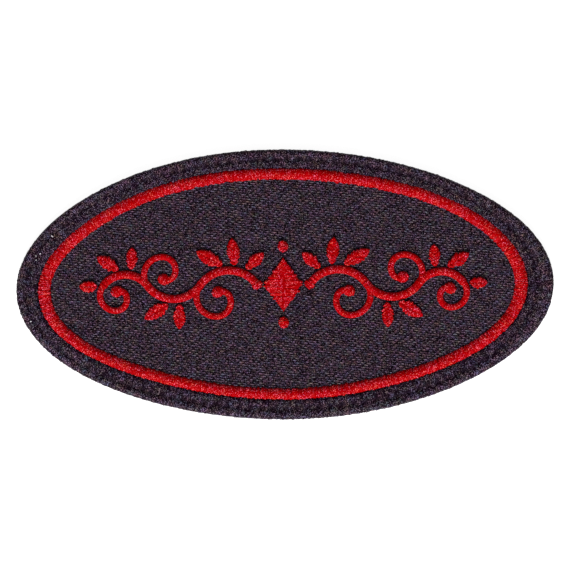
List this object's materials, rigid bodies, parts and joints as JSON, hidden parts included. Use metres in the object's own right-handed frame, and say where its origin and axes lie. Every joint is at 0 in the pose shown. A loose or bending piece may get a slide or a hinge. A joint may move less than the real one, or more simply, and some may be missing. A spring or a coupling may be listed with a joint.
{
  "type": "iron-on oval name patch",
  "caption": "Oval embroidered iron-on patch: dark twill ground, dark stitched border, raised red satin ring and a red scroll ornament.",
  "frame": {"origin": "centre of the underside, on the surface that the patch lies on", "axes": "+X along the oval to the right as it is read, +Y up the oval, +Z out of the stitched face"},
  "size_m": [0.1016, 0.0508, 0.002],
  "materials": {
    "twill": "dark purplish-navy polyester twill",
    "dark_thread": "dark embroidery thread with a soft sheen",
    "red_thread": "red rayon embroidery thread with a satin sheen",
    "seal_film": "milky hot-melt film, semi-matte"
  },
  "bodies": {
    "root": {"heat_seal_backing": "seal_film", "twill_ground": "twill", "stitched_border": "dark_thread", "satin_ring": "red_thread", "centre_lozenge": "red_thread", "dot_upper": "red_thread", "dot_lower": "red_thread", "scroll_right": "red_thread", "scroll_left": "red_thread", "leaf_right_1": "red_thread", "leaf_right_2": "red_thread", "leaf_right_3": "red_thread", "leaf_right_4": "red_thread", "leaf_right_5": "red_thread", "leaf_right_6": "red_thread", "leaf_right_7": "red_thread", "leaf_right_8": "red_thread", "leaf_left_1": "red_thread", "leaf_left_2": "red_thread", "leaf_left_3": "red_thread", "leaf_left_4": "red_thread", "leaf_left_5": "red_thread", "leaf_left_6": "red_thread", "leaf_left_7": "red_thread", "leaf_left_8": "red_thread"}
  },
  "joints": []
}
